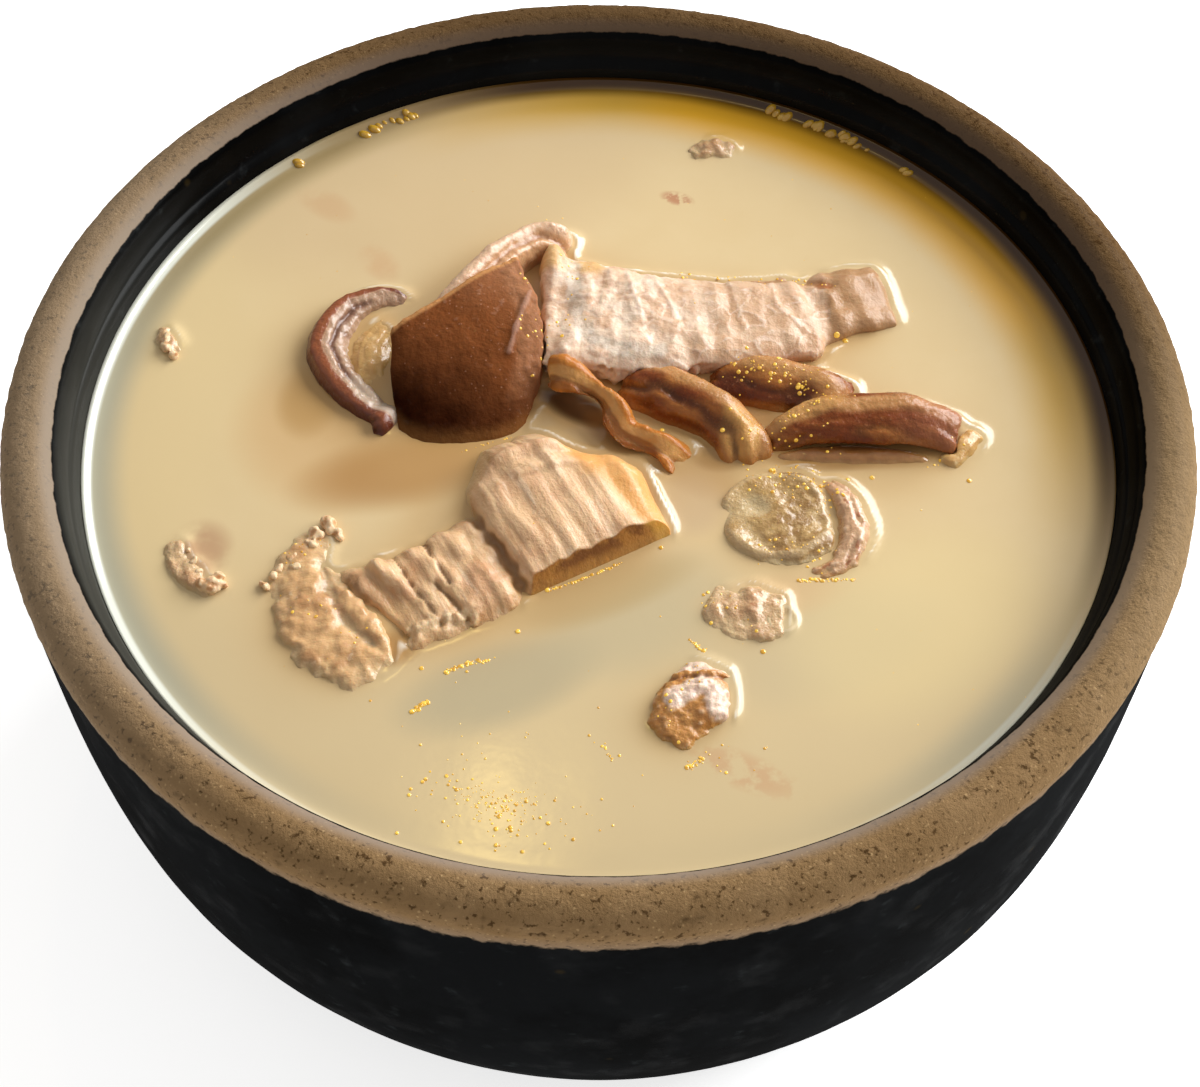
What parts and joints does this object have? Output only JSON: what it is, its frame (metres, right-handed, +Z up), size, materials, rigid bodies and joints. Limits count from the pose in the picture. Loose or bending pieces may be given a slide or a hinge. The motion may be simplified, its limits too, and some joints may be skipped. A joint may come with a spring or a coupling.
{
  "type": "pot of pork soup",
  "caption": "Glazed stoneware pot with a bare clay lip, filled with milky pork broth in which slices of boiled pork, folds of offal and soft fat lie.",
  "frame": {"origin": "the middle of the foot, on the surface the pot stands on", "axes": "+Z up, +X to the right and +Y to the back as the picture shows the pot"},
  "size_m": [0.1708, 0.1708, 0.084],
  "materials": {
    "stoneware": "glossy black glaze, with a bare rough brown lip",
    "broth": "wet, milky and opaque",
    "lean_pork": "wet cross-grained boiled lean meat",
    "pale_pork": "wet pale boiled lean meat",
    "dark_offal": "wet smooth dark skin",
    "brown_offal": "wet finely wrinkled brown skin",
    "pink_offal": "wet greyish pink lining",
    "soft_fat": "wet pale yellow fat",
    "grey_fat": "wet grey translucent fat"
  },
  "bodies": {
    "root": {"pot": "stoneware", "broth": "broth", "pork_slab": "lean_pork", "pork_flake": "lean_pork", "pork_slice": "pale_pork", "offal_fold": "dark_offal", "offal_hook": "pink_offal", "offal_curl": "brown_offal", "offal_lining": "soft_fat", "offal_ribbon": "brown_offal", "offal_lobe_left": "dark_offal", "offal_lobe_right": "dark_offal", "offal_wedge": "dark_offal", "offal_underflap": "dark_offal", "fat_tip": "soft_fat", "fat_disc": "grey_fat", "skin_flap": "brown_offal", "scrap_middle": "pink_offal", "scrap_front": "brown_offal", "scrap_left": "pale_pork", "scrap_back": "pale_pork", "crumb_left": "pale_pork"}
  },
  "joints": []
}
